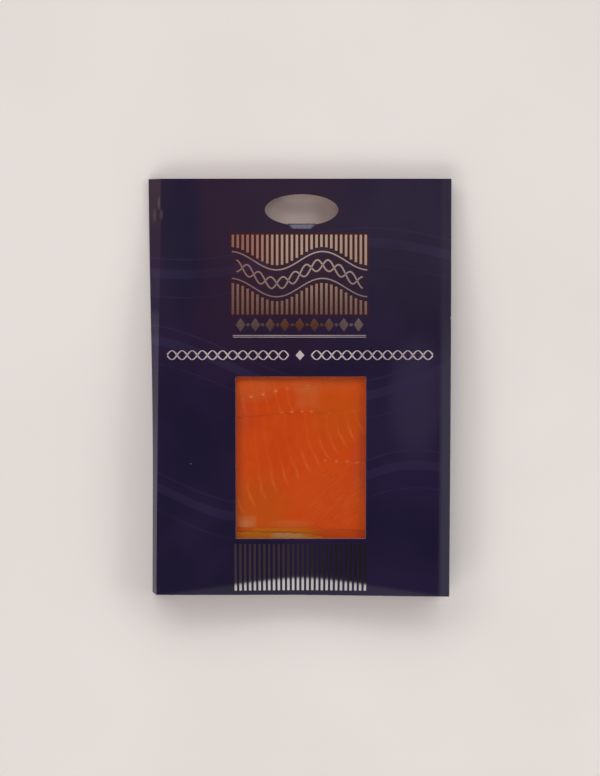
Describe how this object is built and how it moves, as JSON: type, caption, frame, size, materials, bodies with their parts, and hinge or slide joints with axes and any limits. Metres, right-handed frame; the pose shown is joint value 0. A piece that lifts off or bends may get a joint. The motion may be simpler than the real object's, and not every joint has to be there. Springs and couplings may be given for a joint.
{
  "type": "pack of smoked trout slices",
  "caption": "Flat card sleeve with a display window and hanging hole, round a clear vacuum pouch of smoked trout slices; holds and shows chilled fish.",
  "frame": {"origin": "middle of the underside of the bounding box, on the surface the pack lies on", "axes": "+X to the right seen from the front, +Y along the pack to its hanging end, +Z out of the front panel"},
  "size_m": [0.1719, 0.2384, 0.0082],
  "materials": {
    "printed_card": "dark violet-blue print under a glossy laminate, on white board",
    "fish_in_film": "orange-red smoked fish pressed against clear film",
    "foil_print": "rose-gold hot-stamped foil, bright",
    "silver_print": "pinkish silver hot-stamped foil, bright",
    "board_core": "uncoated cut edge and inside of the card",
    "clear_film": "clear glossy vacuum film with fine wrinkles"
  },
  "bodies": {
    "root": {"card_sleeve": "printed_card", "vacuum_pouch": "fish_in_film"}
  },
  "joints": []
}
